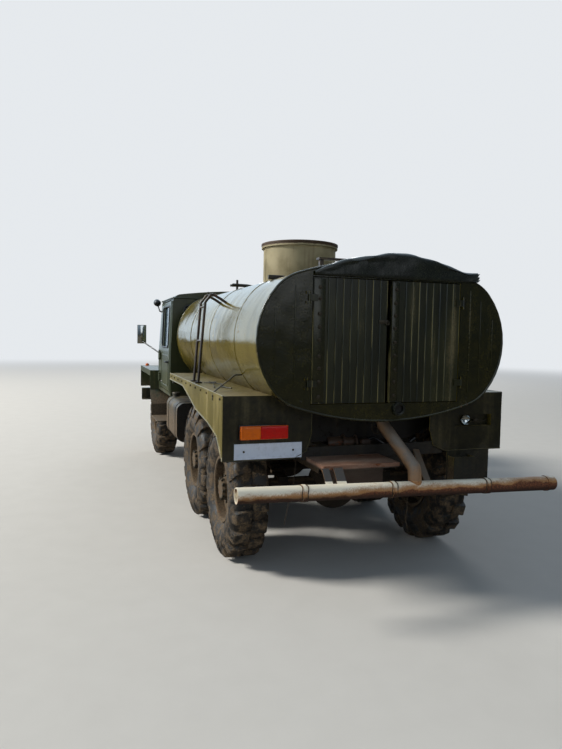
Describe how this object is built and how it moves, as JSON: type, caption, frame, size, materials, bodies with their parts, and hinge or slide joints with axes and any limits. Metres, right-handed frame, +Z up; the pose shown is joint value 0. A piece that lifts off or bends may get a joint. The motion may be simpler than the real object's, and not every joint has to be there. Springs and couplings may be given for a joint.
{
  "type": "tanker truck",
  "caption": "Six-wheel-drive tanker truck with a bonneted cab, an oval tank with filler neck, a tail cabinet with two doors and a spray bar.",
  "frame": {"origin": "on the ground under the middle of the truck's box", "axes": "+Z up, the front of the truck faces -Y, its left side is +X"},
  "size_m": [2.68, 6.9298, 2.8113],
  "materials": {
    "tank_paint": "glossy olive paint, sun-faded and dusty",
    "cab_paint": "semi-gloss grey-green paint",
    "chassis_paint": "dull dark green paint under road dirt",
    "rim_paint": "muddy green paint",
    "rubber": "worn rubber with dried mud",
    "glass": "clear",
    "rusty_steel": "pale paint worn through to rust",
    "seat_cover": "worn brown cover",
    "black_plastic": "black",
    "lamp_lens": "red and orange lens"
  },
  "bodies": {
    "chassis": {"tank": "tank_paint", "saddles": "tank_paint", "cabinet": "tank_paint", "visor": "tank_paint", "filler_neck": "tank_paint", "mudguards": "tank_paint", "ladder": "tank_paint", "cab_tub": "cab_paint", "cab_back": "cab_paint", "cab_roof": "cab_paint", "wings": "cab_paint", "grille": "cab_paint", "frame_rails": "chassis_paint", "crossmembers": "chassis_paint", "bumper": "chassis_paint", "axles": "chassis_paint", "springs": "chassis_paint", "engine": "chassis_paint", "driveline": "chassis_paint", "side_tanks": "chassis_paint", "mirrors": "chassis_paint", "cab_glass": "glass", "headlamps": "glass", "exhaust": "rusty_steel", "step_plate": "rusty_steel", "spray_bar": "rusty_steel", "seats": "seat_cover", "steering_wheel": "black_plastic", "tail_lamp": "lamp_lens"},
    "steering_left": {"knuckle_left": "chassis_paint"},
    "steering_right": {"knuckle_right": "chassis_paint"},
    "steering_link": {"tie_rod": "chassis_paint"},
    "bonnet_lid": {"bonnet": "cab_paint"},
    "left_door": {"cab_door_left": "cab_paint", "door_glass_left": "glass"},
    "right_door": {"cab_door_right": "cab_paint", "door_glass_right": "glass"},
    "lid": {"filler_lid": "tank_paint"},
    "left_cabinet_door": {"cabinet_door_left": "tank_paint"},
    "right_cabinet_door": {"cabinet_door_right": "tank_paint"},
    "wheel_front_left": {"rim_front_left": "rim_paint", "tyre_front_left": "rubber"},
    "wheel_front_right": {"rim_front_right": "rim_paint", "tyre_front_right": "rubber"},
    "wheel_mid_left": {"rim_mid_left": "rim_paint", "tyre_mid_left": "rubber"},
    "wheel_mid_right": {"rim_mid_right": "rim_paint", "tyre_mid_right": "rubber"},
    "wheel_rear_left": {"rim_rear_left": "rim_paint", "tyre_rear_left": "rubber"},
    "wheel_rear_right": {"rim_rear_right": "rim_paint", "tyre_rear_right": "rubber"}
  },
  "joints": [
    {"name": "steer_left", "type": "hinge", "parent": "chassis", "child": "steering_left", "pos_m": [0.74, -2.39, 0.565], "axis": [0, 0, 1], "range_deg": [-28, 28]},
    {"name": "steer_right", "type": "hinge", "parent": "chassis", "child": "steering_right", "pos_m": [-0.74, -2.39, 0.565], "axis": [0, 0, 1], "range_deg": [-28, 28]},
    {"name": "link_slide", "type": "slide", "parent": "chassis", "child": "steering_link", "axis": [1, 0, 0], "range_m": [-0.0895, 0.0895]},
    {"name": "roll_front_left", "type": "hinge", "parent": "steering_left", "child": "wheel_front_left", "pos_m": [0.91, -2.39, 0.565], "axis": [-1, 0, 0], "continuous": true},
    {"name": "roll_front_right", "type": "hinge", "parent": "steering_right", "child": "wheel_front_right", "pos_m": [-0.91, -2.39, 0.565], "axis": [-1, 0, 0], "continuous": true},
    {"name": "roll_mid_left", "type": "hinge", "parent": "chassis", "child": "wheel_mid_left", "pos_m": [0.91, 0.96, 0.565], "axis": [-1, 0, 0], "continuous": true},
    {"name": "roll_mid_right", "type": "hinge", "parent": "chassis", "child": "wheel_mid_right", "pos_m": [-0.91, 0.96, 0.565], "axis": [-1, 0, 0], "continuous": true},
    {"name": "roll_rear_left", "type": "hinge", "parent": "chassis", "child": "wheel_rear_left", "pos_m": [0.91, 2.21, 0.565], "axis": [-1, 0, 0], "continuous": true},
    {"name": "roll_rear_right", "type": "hinge", "parent": "chassis", "child": "wheel_rear_right", "pos_m": [-0.91, 2.21, 0.565], "axis": [-1, 0, 0], "continuous": true},
    {"name": "bonnet_lift", "type": "hinge", "parent": "chassis", "child": "bonnet_lid", "pos_m": [0, -1.91, 1.722], "axis": [-1, 0, 0], "range_deg": [0, 50]},
    {"name": "left_door_swing", "type": "hinge", "parent": "chassis", "child": "left_door", "pos_m": [1.075, -1.675, 1.4], "axis": [0, 0, -1], "range_deg": [0, 70]},
    {"name": "right_door_swing", "type": "hinge", "parent": "chassis", "child": "right_door", "pos_m": [-1.075, -1.675, 1.4], "axis": [0, 0, 1], "range_deg": [0, 70]},
    {"name": "lid_lift", "type": "hinge", "parent": "chassis", "child": "lid", "pos_m": [0, 0.796, 2.7983], "axis": [1, 0, 0], "range_deg": [0, 100]},
    {"name": "left_cabinet_swing", "type": "hinge", "parent": "chassis", "child": "left_cabinet_door", "pos_m": [0.634, 3.17, 1.835], "axis": [0, 0, -1], "range_deg": [0, 110]},
    {"name": "right_cabinet_swing", "type": "hinge", "parent": "chassis", "child": "right_cabinet_door", "pos_m": [-0.634, 3.17, 1.835], "axis": [0, 0, 1], "range_deg": [0, 110]}
  ],
  "couplings": [
    {"joint": "steer_right", "follows": "steer_left", "ratio": 1},
    {"joint": "link_slide", "follows": "steer_left", "m_per_rad": -0.18253}
  ]
}
